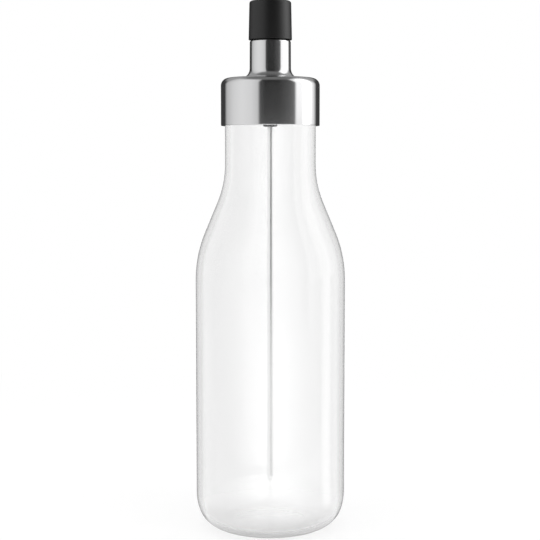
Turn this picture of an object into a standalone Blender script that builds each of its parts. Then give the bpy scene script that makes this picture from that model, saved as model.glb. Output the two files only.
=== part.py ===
# Oil bottle: a blown glass body, a lift-off pouring head in a drawn steel cover,
# a pull-off cap over the pouring lip, and a steel skewer that hangs in the oil.
# Metres, +Z up, the bottle stands on z = 0 with its axis on Z.

import math

import bmesh
import bpy

# Clearances shared by the pieces
GAP = 0.0003              # between faces that touch on the real object
OVERRUN = 0.002           # how far a cutter runs past the wall that it cuts
MERGE = 0.00001           # turned seams and poles are closed within this

# Glass body
BODY_RADIUS = 0.0350
NECK_RADIUS = 0.0211
GLASS_WALL = 0.0018
FLOOR_THICKNESS = 0.0030
RIM_HEIGHT = 0.2068
NECK_LENGTH = 0.0358             # straight glass under the rim
SHOULDER_LENGTH = 0.0540         # from the straight neck down to the straight side
SHOULDER_CURVE = 0.0570          # outward curve over the body
NECK_CURVE = 0.0460              # inward curve under the neck
HEEL_SIDE_CURVE = 0.0223         # long curve from the side into the heel
HEEL_CORNER_CURVE = 0.0122       # tighter curve from there to the base
HEEL_TURN = 22.0                 # degrees that the long curve turns
FOOT_RING_WIDTH = 0.0055         # the flat ring that the bottle stands on
PUSH_UP = 0.0008                 # the base is hollowed by this inside the ring

# Steel cover, one drawn sheet from the collar's edge to the lip under the cap
COVER_SHEET = 0.0008
COLLAR_CLEARANCE = 0.00105       # between the glass neck and the collar
COLLAR_DEPTH = 0.02195
COLLAR_FILLET = 0.0035
THROAT_FILLET = 0.0044
COVER_NECK_RISE = 0.0173
COVER_NECK_DRAFT = 0.0001        # the neck is this much wider at its foot
COVER_LIP_WIDTH = 0.0004         # turned in past the neck's inner wall

# Stopper core, the moulded plug inside the collar and the glass neck
FLANGE_THICKNESS = 0.0012
SPIGOT_LENGTH = 0.0176
SPIGOT_CLEARANCE = 0.0021        # bridged by the seal rings
SPIGOT_WALL = 0.0037
SPIGOT_CHAMFER = 0.0005
CORE_FLOOR = 0.0020
LEDGE_WIDTH = 0.0017             # seat of the spout's base and its seal
PORT_RADIUS = 0.0017
PORT_COUNT = 6                   # places in the floor, one of them for the vent tube

# Silicone seals
GASKET_THICKNESS = 0.0010
SEAL_THICKNESS = 0.0016
SEAL_LIP_THICKNESS = 0.0008
SEAL_GROOVE_DEPTH = 0.0007
SEAL_SHOULDER = 0.0005           # full thickness runs this far past the spigot
SEAL_HEIGHT_SHARES = {"lower": 0.17, "middle": 0.42, "upper": 0.67}
SPOUT_SEAL_THICKNESS = 0.0009

# Pouring spout
STEM_RADIUS = 0.0080
STEM_STEP = 0.0012               # from the stem in to the waist under the lip
STEM_SHOULDER_RISE = 0.0012      # of the stem's shoulder over the steel lip
STEM_SHOULDER_SLOPE = 0.0008
STEM_FILLET = 0.0010
SPOUT_WALL = 0.0010
SPOUT_BASE_THICKNESS = 0.0011
SPOUT_INLET_CHAMFER = 0.0010
LIP_TURN = 50.0                  # degrees that the lip curls outwards

# Vent tube, which lets air in while oil runs out
VENT_RADIUS = 0.0013
VENT_BORE = 0.0008
VENT_FOOT_INSET = 0.0002         # its foot stops short of the core's underside
VENT_TOP_CLEARANCE = 0.0007      # under the cap's plug

# Cap
CAP_CLEARANCE = 0.0004
CAP_WALL = 0.00165
CAP_HEIGHT = 0.0177
CAP_DRAFT = 0.0004               # narrower at the top than at the foot
CAP_FILLET = 0.0011
CAP_TOP_THICKNESS = 0.0021
CAP_FOOT_CHAMFER = 0.0003
CAP_DISC_THICKNESS = 0.0018      # of the seal under the cap's ceiling
PLUG_LENGTH = 0.0043             # from the pouring lip down to the plug's end
PLUG_CHAMFER = 0.0006

# Skewer and its hub
SKEWER_RADIUS = 0.0014
SKEWER_TIP_CLEARANCE = 0.0165    # from the glass floor to the point
SKEWER_POINT_LENGTH = 0.0040
SKEWER_SPEAR_LENGTH = 0.0210     # thicker stretch between the point and the groove
SKEWER_SPEAR_SWELL = 0.00012
SKEWER_GROOVE_LENGTH = 0.0028
SKEWER_GROOVE_DEPTH = 0.00025
SKEWER_GRIP = 0.0062             # how deep the rod sits in the hub
SKEWER_CHAMFER = 0.0003
HUB_WALL = 0.0009
HUB_SHOULDER = 0.0009
HUB_HEIGHT = 0.0026
HUB_ROUNDING = 0.0011
HUB_CROWN = 0.0009
HUB_CHAMFER = 0.0004
BOSS_WALL = 0.0015

# Facets round the axis
BOTTLE_FACETS = 48
COVER_FACETS = 48
CORE_FACETS = 36
SEAL_FACETS = 36
SPOUT_FACETS = 28
CAP_FACETS = 36
HUB_FACETS = 20
SKEWER_FACETS = 12
PORT_FACETS = 10
VENT_BEND_POINTS = 7
PUSH_UP_POINTS = 3
SHARP_ANGLE = math.radians(28)

# Finish of each piece: colour, roughness, metallic, transmission
GLASS = ((0.96, 0.97, 0.97), 0.02, 0.0, 1.0)
SATIN_STEEL = ((0.62, 0.62, 0.63), 0.24, 1.0, 0.0)
BLACK_PLASTIC = ((0.020, 0.020, 0.021), 0.45, 0.0, 0.0)
CAP_BLACK = ((0.018, 0.018, 0.019), 0.55, 0.0, 0.0)
SILICONE = ((0.45, 0.45, 0.46), 0.60, 0.0, 0.0)


# Places along the axis, stacked up and down from the glass rim
neck_foot = RIM_HEIGHT - NECK_LENGTH
shoulder_foot = neck_foot - SHOULDER_LENGTH
gasket_foot = RIM_HEIGHT + GAP
gasket_top = gasket_foot + GASKET_THICKNESS
flange_foot = gasket_top + GAP
flange_top = flange_foot + FLANGE_THICKNESS
cover_top = flange_top + GAP + COVER_SHEET
collar_edge = cover_top - COLLAR_DEPTH
cover_lip = cover_top + COVER_NECK_RISE
cap_foot = cover_lip + GAP
cap_top = cap_foot + CAP_HEIGHT
cap_ceiling = cap_top - CAP_TOP_THICKNESS
cap_disc_top = cap_ceiling - GAP
cap_disc_foot = cap_disc_top - CAP_DISC_THICKNESS
spout_top = cap_disc_foot - GAP
plug_foot = spout_top - PLUG_LENGTH
spout_base_foot = flange_top - SPOUT_BASE_THICKNESS
spout_seal_top = spout_base_foot - GAP
spout_seal_foot = spout_seal_top - SPOUT_SEAL_THICKNESS
ledge = spout_seal_foot - GAP
spigot_foot = flange_foot - SPIGOT_LENGTH
core_floor_top = spigot_foot + CORE_FLOOR
hub_seat = spigot_foot - GAP
hub_foot = hub_seat - HUB_HEIGHT
skewer_top = hub_seat + SKEWER_GRIP
hub_bore_top = skewer_top + GAP
stud_top = hub_bore_top + HUB_CROWN
socket_top = stud_top + GAP
boss_top = socket_top + BOSS_WALL
skewer_tip = FLOOR_THICKNESS + SKEWER_TIP_CLEARANCE

# Radii, from the pieces that pass through one another
bore_radius = NECK_RADIUS - GLASS_WALL
collar_inner = NECK_RADIUS + COLLAR_CLEARANCE
collar_radius = collar_inner + COVER_SHEET
spigot_radius = bore_radius - SPIGOT_CLEARANCE
groove_radius = spigot_radius - SEAL_GROOVE_DEPTH
cup_radius = spigot_radius - SPIGOT_WALL
counterbore_radius = cup_radius + LEDGE_WIDTH
lip_hole_radius = STEM_RADIUS + GAP
cover_neck_inner = lip_hole_radius + COVER_LIP_WIDTH
cover_neck_radius = cover_neck_inner + COVER_SHEET
waist_radius = STEM_RADIUS - STEM_STEP
spout_bore = waist_radius - SPOUT_WALL
cap_bore = STEM_RADIUS + CAP_CLEARANCE
cap_foot_radius = cap_bore + CAP_WALL
hub_bore = SKEWER_RADIUS + GAP
stud_radius = hub_bore + HUB_WALL
hub_radius = stud_radius + HUB_SHOULDER
socket_radius = stud_radius + GAP
boss_radius = socket_radius + BOSS_WALL
port_ring_radius = (boss_radius + cup_radius) / 2


def arc(centre, radius, start, end, steps):
    """Points (r, z) on an arc round centre, from start to end degrees."""
    points = []
    for i in range(steps + 1):
        angle = math.radians(start + (end - start) * i / steps)
        points.append((centre[0] + radius * math.cos(angle), centre[1] + radius * math.sin(angle)))
    return points


def collection(name):
    made = bpy.data.collections.new(name)
    bpy.context.scene.collection.children.link(made)
    return made


def link(item, group, parent=None):
    """Puts an object in a collection, and under a parent that stands unturned on the axis."""
    group.objects.link(item)
    item.parent = parent
    return item


def material(name, finish):
    """One Principled material for one piece."""
    colour, roughness, metallic, transmission = finish
    made = bpy.data.materials.new(name + "_finish")
    made.use_nodes = True
    shader = made.node_tree.nodes["Principled BSDF"]
    shader.inputs["Base Color"].default_value = (*colour, 1.0)
    shader.inputs["Roughness"].default_value = roughness
    shader.inputs["Metallic"].default_value = metallic
    shader.inputs["Transmission Weight"].default_value = transmission
    made.diffuse_color = (*colour, 1.0 - transmission / 2)
    made.roughness = roughness
    made.metallic = metallic
    return made


def evaluated_mesh(item):
    """The object's mesh with its modifiers or curve settings carried out."""
    bpy.context.view_layer.update()
    graph = bpy.context.evaluated_depsgraph_get()
    return bpy.data.meshes.new_from_object(item.evaluated_get(graph))


def shade(mesh):
    """Smooth round faces with crisp edges between them."""
    mesh.shade_smooth()
    mesh.set_sharp_from_angle(angle=SHARP_ANGLE)


def settle(item, finish):
    """Carries out the modifiers, shades the mesh and gives it its own material."""
    mesh = evaluated_mesh(item)
    item.modifiers.clear()
    item.data = mesh
    mesh.name = item.name
    mesh.materials.clear()
    mesh.materials.append(material(item.name, finish))
    shade(mesh)
    return item


def turned(name, profile, seat, parent, facets, closed=False):
    """A profile of (r, z) points, with z above the table, turned round Z. Its origin is at height seat."""
    mesh = bpy.data.meshes.new(name)
    points = [(r, 0.0, z - seat) for r, z in profile]
    edges = [(i, i + 1) for i in range(len(points) - 1)]
    if closed:
        edges.append((len(points) - 1, 0))
    mesh.from_pydata(points, edges, [])
    item = link(bpy.data.objects.new(name, mesh), parts, parent)
    item.location.z = seat - height_of(parent)
    screw = item.modifiers.new("turn", "SCREW")
    screw.axis = "Z"
    screw.steps = facets
    screw.render_steps = facets
    screw.use_merge_vertices = True
    screw.merge_threshold = MERGE
    return item


def height_of(item):
    """How high a chain of empties puts its last one."""
    height = 0.0
    while item is not None:
        height += item.location.z
        item = item.parent
    return height


def axis_empty(name, height, parent):
    """The frame of one moving body: its origin lies on the slide's axis."""
    item = link(bpy.data.objects.new(name, None), parts, parent)
    item.empty_display_size = BODY_RADIUS
    item.location.z = height - height_of(parent)
    return item


def round_cutter(name, radius, place, low, high):
    """A vertical cylinder that cuts from height low to height high, past both by the overrun."""
    depth = high - low + 2 * OVERRUN
    bpy.ops.mesh.primitive_cylinder_add(vertices=PORT_FACETS, radius=radius, depth=depth)
    item = bpy.context.object
    item.name = name
    for old in list(item.users_collection):
        old.objects.unlink(item)
    link(item, cutters)
    item.location = (place[0], place[1], (low + high) / 2)
    item.hide_render = True
    item.display_type = "WIRE"
    return item


def cut(item, cutter):
    boolean = item.modifiers.new(cutter.name, "BOOLEAN")
    boolean.operation = "DIFFERENCE"
    boolean.solver = "EXACT"
    boolean.object = cutter


def shoulder(inset):
    """The shoulder from neck to body, moved inwards by inset: two curves and the flank that touches both."""
    flare = BODY_RADIUS - NECK_RADIUS
    room = (flare ** 2 + SHOULDER_LENGTH ** 2) / (2 * flare)
    limit = min(1.0, room / (NECK_CURVE + SHOULDER_CURVE))
    neck_curve = NECK_CURVE * limit
    body_curve = SHOULDER_CURVE * limit
    curves = neck_curve + body_curve
    across = curves - flare
    reach = min(1.0, curves / math.hypot(across, SHOULDER_LENGTH))
    turn = math.degrees(math.atan2(SHOULDER_LENGTH, across) - math.acos(reach))
    neck_centre = (NECK_RADIUS + neck_curve, neck_foot)
    body_centre = (BODY_RADIUS - body_curve, shoulder_foot)
    upper = arc(neck_centre, neck_curve + inset, 180, 180 + turn, 4)
    lower = arc(body_centre, body_curve - inset, turn, 0, 4)
    return upper + lower


def heel_outside():
    """The side's long curve, then the corner curve down to the foot ring."""
    turn = math.radians(HEEL_TURN)
    drop = HEEL_SIDE_CURVE - HEEL_CORNER_CURVE
    side_centre = (BODY_RADIUS - HEEL_SIDE_CURVE, HEEL_CORNER_CURVE + drop * math.sin(turn))
    corner_centre = (side_centre[0] + drop * math.cos(turn), HEEL_CORNER_CURVE)
    side = arc(side_centre, HEEL_SIDE_CURVE, 0, -HEEL_TURN, 2)
    corner = arc(corner_centre, HEEL_CORNER_CURVE, -HEEL_TURN, -90, 5)
    return side_centre, side + corner[1:]


def heel_inside(side_centre):
    """One wall in from the side, then a corner that meets the thicker floor. From the floor up."""
    turn = math.radians(HEEL_TURN)
    radius = HEEL_SIDE_CURVE - GLASS_WALL
    side = arc(side_centre, radius, -HEEL_TURN, 0, 2)
    meet_r, meet_z = side[0]
    corner = (meet_z - FLOOR_THICKNESS) / (1 - math.sin(turn))
    centre = (meet_r - corner * math.cos(turn), FLOOR_THICKNESS + corner)
    return arc(centre, corner, -90, -HEEL_TURN, 5)[:-1] + side


def push_up(ring_radius):
    """The hollowed base, from the foot ring in to the axis."""
    dome = (ring_radius ** 2 + PUSH_UP ** 2) / (2 * PUSH_UP)
    points = []
    for i in range(PUSH_UP_POINTS + 1):
        r = ring_radius * (1 - i / PUSH_UP_POINTS)
        points.append((r, PUSH_UP - dome + math.sqrt(dome ** 2 - r ** 2)))
    return points


def make_bottle(frame):
    side_centre, heel = heel_outside()
    foot_radius = heel[-1][0]
    rim = arc((NECK_RADIUS - GLASS_WALL / 2, RIM_HEIGHT - GLASS_WALL / 2), GLASS_WALL / 2, 180, 0, 4)
    profile = [(0.0, FLOOR_THICKNESS)]
    profile += heel_inside(side_centre)
    profile += reversed(shoulder(GLASS_WALL))
    profile += rim
    profile += shoulder(0.0)
    profile += heel
    profile += push_up(foot_radius - FOOT_RING_WIDTH)
    item = turned("glass_bottle", profile, 0.0, frame, BOTTLE_FACETS)
    return settle(item, GLASS)


def make_cover(frame):
    """Outside from the lip down to the collar's edge, then one sheet's thickness back up."""
    neck_foot_radius = cover_neck_radius + COVER_NECK_DRAFT
    throat = (neck_foot_radius + THROAT_FILLET, cover_top + THROAT_FILLET)
    corner = (collar_radius - COLLAR_FILLET, cover_top - COLLAR_FILLET)
    lip_bend = COVER_SHEET + COVER_LIP_WIDTH / 2
    roll = (cover_neck_radius - lip_bend, cover_lip - lip_bend)
    profile = [(lip_hole_radius, cover_lip)]
    profile += arc(roll, lip_bend, 90, 0, 3)
    profile += arc(throat, THROAT_FILLET, 180, 270, 5)
    profile += arc(corner, COLLAR_FILLET, 90, 0, 5)
    profile += [(collar_radius, collar_edge), (collar_inner, collar_edge)]
    profile += arc(corner, COLLAR_FILLET - COVER_SHEET, 0, 90, 4)
    profile += arc(throat, THROAT_FILLET + COVER_SHEET, 270, 180, 4)
    profile += [(cover_neck_inner, cover_lip - COVER_SHEET)]
    profile += [(lip_hole_radius, cover_lip - COVER_SHEET)]
    item = turned("steel_cover", profile, collar_edge, frame, COVER_FACETS, closed=True)
    return settle(item, SATIN_STEEL)


def seal_height(share):
    return spigot_foot + share * SPIGOT_LENGTH


def make_core(frame):
    """A cup with a flange on the glass rim, ring grooves outside, and a boss for the hub in its floor."""
    corner = (collar_radius - COLLAR_FILLET, cover_top - COLLAR_FILLET)
    corner_curve = COLLAR_FILLET - COVER_SHEET - GAP
    lowest = math.degrees(math.asin((flange_foot - corner[1]) / corner_curve))
    profile = [(0.0, boss_top), (boss_radius, boss_top)]
    profile += [(boss_radius, core_floor_top), (cup_radius, core_floor_top)]
    profile += [(cup_radius, ledge), (counterbore_radius, ledge), (counterbore_radius, flange_top)]
    profile += arc(corner, corner_curve, 90, lowest, 3)
    profile += [(spigot_radius, flange_foot)]
    half = SEAL_THICKNESS / 2 + GAP
    for share in sorted(SEAL_HEIGHT_SHARES.values(), reverse=True):
        z = seal_height(share)
        profile += [(spigot_radius, z + half), (groove_radius, z + half)]
        profile += [(groove_radius, z - half), (spigot_radius, z - half)]
    profile += [(spigot_radius, spigot_foot + SPIGOT_CHAMFER)]
    profile += [(spigot_radius - SPIGOT_CHAMFER, spigot_foot)]
    profile += [(socket_radius, spigot_foot), (socket_radius, socket_top), (0.0, socket_top)]
    item = turned("stopper_core", profile, flange_foot, frame, CORE_FACETS)
    for i in range(PORT_COUNT):
        angle = 2 * math.pi * i / PORT_COUNT
        place = (port_ring_radius * math.cos(angle), port_ring_radius * math.sin(angle))
        radius = VENT_RADIUS + GAP if i == 0 else PORT_RADIUS
        cut(item, round_cutter("port_cutter_" + str(i + 1), radius, place, spigot_foot, core_floor_top))
    return settle(item, BLACK_PLASTIC)


def make_rim_gasket(frame):
    inner = spigot_radius + GAP
    profile = [(NECK_RADIUS, gasket_top), (NECK_RADIUS, gasket_foot)]
    profile += [(inner, gasket_foot), (inner, gasket_top)]
    item = turned("rim_gasket", profile, gasket_foot, frame, SEAL_FACETS, closed=True)
    return settle(item, SILICONE)


def make_seal_rings(frame):
    """Three rings whose lips, bevelled on top and below, touch the glass bore."""
    inner = groove_radius + GAP
    outer = bore_radius - GAP
    shoulder_radius = spigot_radius + SEAL_SHOULDER
    half = SEAL_THICKNESS / 2
    half_lip = SEAL_LIP_THICKNESS / 2
    for place, share in SEAL_HEIGHT_SHARES.items():
        z = seal_height(share)
        profile = [(inner, z + half), (shoulder_radius, z + half), (outer, z + half_lip)]
        profile += [(outer, z - half_lip), (shoulder_radius, z - half), (inner, z - half)]
        item = turned("seal_ring_" + place, profile, z, frame, SEAL_FACETS, closed=True)
        settle(item, SILICONE)


def make_spout(frame):
    """A stem in the steel neck, a waist, and a lip that curls outwards so that a drop breaks off."""
    base_radius = counterbore_radius - GAP
    curl = (STEM_RADIUS - waist_radius) / (1 - math.cos(math.radians(LIP_TURN)))
    curl_inside = curl + SPOUT_WALL
    curl_height = spout_top - curl_inside * math.sin(math.radians(LIP_TURN))
    centre = (waist_radius + curl, curl_height)
    shoulder_top = cover_lip + STEM_SHOULDER_RISE + STEM_SHOULDER_SLOPE
    profile = [(spout_bore + SPOUT_INLET_CHAMFER, spout_base_foot)]
    profile += [(spout_bore, spout_base_foot + SPOUT_INLET_CHAMFER)]
    profile += arc(centre, curl_inside, 180, 180 - LIP_TURN, 4)
    profile += arc(centre, curl, 180 - LIP_TURN, 180, 4)
    profile += [(waist_radius, shoulder_top), (STEM_RADIUS, cover_lip + STEM_SHOULDER_RISE)]
    profile += [(STEM_RADIUS, flange_top + STEM_FILLET), (STEM_RADIUS + STEM_FILLET, flange_top)]
    profile += [(base_radius, flange_top), (base_radius, spout_base_foot)]
    item = turned("pour_spout", profile, spout_base_foot, frame, SPOUT_FACETS, closed=True)
    return settle(item, BLACK_PLASTIC)


def make_spout_seal(frame):
    inner = cup_radius + GAP
    outer = counterbore_radius - GAP
    profile = [(outer, spout_seal_top), (outer, spout_seal_foot)]
    profile += [(inner, spout_seal_foot), (inner, spout_seal_top)]
    item = turned("spout_seal", profile, spout_seal_foot, frame, SEAL_FACETS, closed=True)
    return settle(item, SILICONE)


def vent_path():
    """Up past the boss, across to the spout's bore by a smooth step, and up to the cap's plug."""
    foot_r = port_ring_radius
    top_r = spout_bore - GAP - VENT_RADIUS
    points = [(foot_r, spigot_foot + VENT_FOOT_INSET)]
    for i in range(VENT_BEND_POINTS + 1):
        t = i / VENT_BEND_POINTS
        step = t * t * (3 - 2 * t)
        points.append((foot_r + (top_r - foot_r) * step, boss_top + (spout_base_foot - boss_top) * t))
    points.append((top_r, plug_foot - VENT_TOP_CLEARANCE))
    return points


def tube(name, points, radius, resolution):
    """A solid round bar along a path in the XZ plane, as a welded mesh object."""
    curve = bpy.data.curves.new(name, "CURVE")
    curve.dimensions = "3D"
    curve.bevel_depth = radius
    curve.bevel_resolution = resolution
    curve.use_fill_caps = True
    spline = curve.splines.new("POLY")
    spline.points.add(len(points) - 1)
    for point, (r, z) in zip(spline.points, points):
        point.co = (r, 0.0, z, 1.0)
    path = bpy.data.objects.new(name + "_path", curve)
    bpy.context.scene.collection.objects.link(path)
    mesh = evaluated_mesh(path)
    bpy.data.objects.remove(path)
    bpy.data.curves.remove(curve)
    work = bmesh.new()
    work.from_mesh(mesh)
    bmesh.ops.remove_doubles(work, verts=work.verts, dist=MERGE)
    work.to_mesh(mesh)
    work.free()
    return bpy.data.objects.new(name, mesh)


def make_vent_tube(frame):
    points = vent_path()
    seat = height_of(frame)
    local = [(r, z - seat) for r, z in points]
    item = link(tube("vent_tube", local, VENT_RADIUS, 2), parts, frame)
    (foot_r, foot_z), (top_r, top_z) = points[0], points[-1]
    longer = [(foot_r, foot_z - OVERRUN)] + points[1:-1] + [(top_r, top_z + OVERRUN)]
    bore = link(tube("vent_bore_cutter", longer, VENT_BORE, 1), cutters)
    bore.hide_render = True
    bore.display_type = "WIRE"
    cut(item, bore)
    return settle(item, SATIN_STEEL)


def make_cap(frame):
    top_radius = cap_foot_radius - CAP_DRAFT
    corner = (top_radius - CAP_FILLET, cap_top - CAP_FILLET)
    profile = [(0.0, cap_top)]
    profile += arc(corner, CAP_FILLET, 90, 0, 4)
    profile += [(cap_foot_radius, cap_foot), (cap_bore + CAP_FOOT_CHAMFER, cap_foot)]
    profile += [(cap_bore, cap_foot + CAP_FOOT_CHAMFER), (cap_bore, cap_ceiling), (0.0, cap_ceiling)]
    item = turned("cap_shell", profile, cap_foot, frame, CAP_FACETS)
    return settle(item, CAP_BLACK)


def make_cap_seal(frame):
    """A disc under the cap's ceiling, and a plug that stops the spout's bore."""
    disc_radius = cap_bore - GAP
    plug_radius = spout_bore - GAP
    profile = [(0.0, cap_disc_top), (disc_radius, cap_disc_top)]
    profile += [(disc_radius, cap_disc_foot), (plug_radius, cap_disc_foot)]
    profile += [(plug_radius, plug_foot + PLUG_CHAMFER), (plug_radius - PLUG_CHAMFER, plug_foot)]
    profile += [(0.0, plug_foot)]
    item = turned("cap_seal", profile, cap_disc_foot, frame, SPOUT_FACETS)
    return settle(item, SILICONE)


def make_hub(frame):
    """A rounded button under the core, and a stud in the core's boss, bored from below for the rod."""
    corner = (hub_radius - HUB_ROUNDING, hub_foot + HUB_ROUNDING)
    profile = [(0.0, stud_top), (stud_radius - HUB_CHAMFER, stud_top), (stud_radius, stud_top - HUB_CHAMFER)]
    profile += [(stud_radius, hub_seat), (hub_radius, hub_seat)]
    profile += arc(corner, HUB_ROUNDING, 0, -90, 4)
    profile += [(hub_bore, hub_foot), (hub_bore, hub_bore_top), (0.0, hub_bore_top)]
    item = turned("skewer_hub", profile, hub_seat, frame, HUB_FACETS)
    return settle(item, SATIN_STEEL)


def make_skewer(frame):
    """A plain rod, a shallow groove, and a slightly thicker spear that runs out in a point."""
    spear_radius = SKEWER_RADIUS + SKEWER_SPEAR_SWELL
    waist = SKEWER_RADIUS - SKEWER_GROOVE_DEPTH
    point_top = skewer_tip + SKEWER_POINT_LENGTH
    spear_top = point_top + SKEWER_SPEAR_LENGTH
    groove_top = spear_top + SKEWER_GROOVE_LENGTH
    slope = SKEWER_GROOVE_DEPTH + SKEWER_SPEAR_SWELL
    profile = [(0.0, skewer_top), (SKEWER_RADIUS - SKEWER_CHAMFER, skewer_top)]
    profile += [(SKEWER_RADIUS, skewer_top - SKEWER_CHAMFER), (SKEWER_RADIUS, groove_top)]
    profile += [(waist, groove_top - slope), (waist, spear_top + slope), (spear_radius, spear_top)]
    profile += [(spear_radius, point_top), (0.0, skewer_tip)]
    item = turned("skewer", profile, hub_seat, frame, SKEWER_FACETS)
    return settle(item, SATIN_STEEL)


for old in list(bpy.data.objects):
    bpy.data.objects.remove(old)
parts = collection("oil_bottle")
cutters = collection("oil_bottle_cutters")

# The head lifts off the bottle, the cap pulls off the head, and the skewer draws out of its hub
bottle_frame = axis_empty("bottle_frame", 0.0, None)
head_frame = axis_empty("head_frame", RIM_HEIGHT, bottle_frame)
cap_frame = axis_empty("cap_frame", cap_foot, head_frame)
skewer_frame = axis_empty("skewer_frame", hub_seat, head_frame)

make_bottle(bottle_frame)
make_cover(head_frame)
make_core(head_frame)
make_rim_gasket(head_frame)
make_seal_rings(head_frame)
make_spout(head_frame)
make_spout_seal(head_frame)
make_vent_tube(head_frame)
make_hub(head_frame)
make_cap(cap_frame)
make_cap_seal(cap_frame)
make_skewer(skewer_frame)
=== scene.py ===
# %% [markdown]
# # An oil bottle with a steel pouring head
# A blown glass bottle stands on a table. A pressed steel cover sits over its neck, a black cap
# closes the pouring lip, and a steel skewer for herbs hangs inside. This lesson dresses the packed
# CAD model: each solid gets a smooth, finely turned piece in the same place, and a finish that
# answers to light as the real material does.
# Nearly everything here was made on something that spins: glass in a mould, steel on a press and
# a lathe. So one tool, a lathe built from Geometry Nodes, makes nearly every piece.

import math

import bpy
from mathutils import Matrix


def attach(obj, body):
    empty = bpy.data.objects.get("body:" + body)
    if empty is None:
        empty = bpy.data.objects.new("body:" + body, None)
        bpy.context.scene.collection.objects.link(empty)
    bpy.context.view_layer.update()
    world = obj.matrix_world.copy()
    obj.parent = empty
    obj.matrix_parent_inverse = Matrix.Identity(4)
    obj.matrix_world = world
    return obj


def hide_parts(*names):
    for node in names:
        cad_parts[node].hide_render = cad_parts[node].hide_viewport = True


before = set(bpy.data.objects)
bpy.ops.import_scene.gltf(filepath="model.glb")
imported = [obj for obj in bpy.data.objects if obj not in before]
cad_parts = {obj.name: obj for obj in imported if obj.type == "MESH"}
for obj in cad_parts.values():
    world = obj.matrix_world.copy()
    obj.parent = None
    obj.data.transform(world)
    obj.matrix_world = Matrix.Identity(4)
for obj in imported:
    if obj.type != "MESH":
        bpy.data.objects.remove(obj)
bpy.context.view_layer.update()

# %% [markdown]
# ## The camera
# The photograph was taken level, at the height of the glass neck, with the lens shifted down: the
# collar's edge is straight, the sides are upright, and the foot is seen from above. The bottle
# fills the frame from top to bottom. As large a shift would cut the cap off in other views, so
# this camera keeps a small one, stands a little further back, and dips by nearly five degrees. Its
# place was found by trying heights until the collar's edge was level and every other edge of the
# bottle fell within about five pixels of the photograph's.

# %% Place the camera
FILM_WIDTH = 36.0
FRAME_PIXELS = 540
FOCAL_PIXELS = 1236.1
CAMERA_DISTANCE = 0.5786
CAMERA_HEIGHT = 0.174
CAMERA_DIP = math.radians(4.732)
SHIFT_PIXELS = (-0.3, -10.0)

scene = bpy.context.scene
lens = bpy.data.cameras.new("photo_camera")
lens.sensor_width = FILM_WIDTH
lens.lens = FOCAL_PIXELS * FILM_WIDTH / FRAME_PIXELS
lens.shift_x = SHIFT_PIXELS[0] / FRAME_PIXELS
lens.shift_y = SHIFT_PIXELS[1] / FRAME_PIXELS
lens.clip_start = 0.01
lens.clip_end = 50.0
camera = bpy.data.objects.new("photo_camera", lens)
scene.collection.objects.link(camera)
camera.location = (0.0, -CAMERA_DISTANCE, CAMERA_HEIGHT)
camera.rotation_euler = (math.radians(90) - CAMERA_DIP, 0.0, 0.0)
scene.camera = camera
scene.view_settings.view_transform = "Standard"
print("lens %.1f mm, dipped %.2f degrees" % (lens.lens, math.degrees(CAMERA_DIP)))

# %% [markdown]
# ## Wires
# Node trees are sums drawn as boxes. Writing them as boxes in Python takes ten lines for one
# multiplication, so this small class wraps a socket and lets plain arithmetic add the Math nodes.
# One other method, `add`, places any node: its type, its settings, then its sockets. The last few
# are short names for sums that come up often. The same class serves the shaders and the Geometry
# Nodes.


# %% A wire between nodes
class Wire:
    """One output socket. Arithmetic on it adds Math nodes to its tree."""

    def __init__(self, tree, socket=None):
        self.tree = tree
        self.socket = socket

    def add(self, kind, settings=None, sockets=None, output=0):
        """Adds a node: settings first, then sockets, each a value or another wire."""
        node = self.tree.nodes.new(kind)
        for name, value in (settings or {}).items():
            if name == "stops":
                self.fill(node.color_ramp.elements, value)
            else:
                setattr(node, name, value)
        for name, value in (sockets or {}).items():
            if isinstance(value, Wire):
                self.tree.links.new(value.socket, node.inputs[name])
            else:
                node.inputs[name].default_value = value
        return Wire(self.tree, node.outputs[output] if len(node.outputs) else None)

    def fill(self, elements, stops):
        """Fills a ramp: each stop is a place from 0 to 1 and a grey level."""
        elements[0].color = (stops[0][1],) * 3 + (1.0,)
        elements[-1].color = (stops[-1][1],) * 3 + (1.0,)
        for place, level in stops[1:-1]:
            elements.new(place).color = (level, level, level, 1.0)

    def out(self, name):
        """Another output of the node that this wire leaves."""
        return Wire(self.tree, self.socket.node.outputs[name])

    def maths(self, operation, *terms):
        """A Math node. Every operator below comes here."""
        return self.add("ShaderNodeMath", {"operation": operation}, dict(enumerate(terms)))

    def __add__(self, other):
        return self.maths("ADD", self, other)

    def __radd__(self, other):
        return self.maths("ADD", other, self)

    def __sub__(self, other):
        return self.maths("SUBTRACT", self, other)

    def __rsub__(self, other):
        return self.maths("SUBTRACT", other, self)

    def __mul__(self, other):
        return self.maths("MULTIPLY", self, other)

    def __rmul__(self, other):
        return self.maths("MULTIPLY", other, self)

    def __truediv__(self, other):
        return self.maths("DIVIDE", self, other)

    def __gt__(self, other):
        return self.maths("GREATER_THAN", self, other)

    def at_least(self, count):
        """1 where a whole number is that count or more, otherwise 0."""
        return self > count - 0.5

    def exactly(self, count):
        """1 where a whole number is that count, otherwise 0."""
        return self.at_least(count) * (1 - self.at_least(count + 1))

    def most(self, *others):
        """The greatest of this value and the others."""
        greatest = self
        for other in others:
            greatest = self.maths("MAXIMUM", greatest, other)
        return greatest

    def step(self, low, high):
        """0 below low, 1 above high, and a soft ramp between them."""
        sockets = {"Value": self, "From Min": low, "From Max": high}
        return self.add("ShaderNodeMapRange", {"interpolation_type": "SMOOTHSTEP"}, sockets)

    def band(self, low, high, soft):
        """1 between low and high, with soft edges that wide on either side."""
        return self.step(low - soft, low + soft) * (1 - self.step(high - soft, high + soft))


print("a wire can:", ", ".join(name for name in vars(Wire) if not name.startswith("_")))

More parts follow.
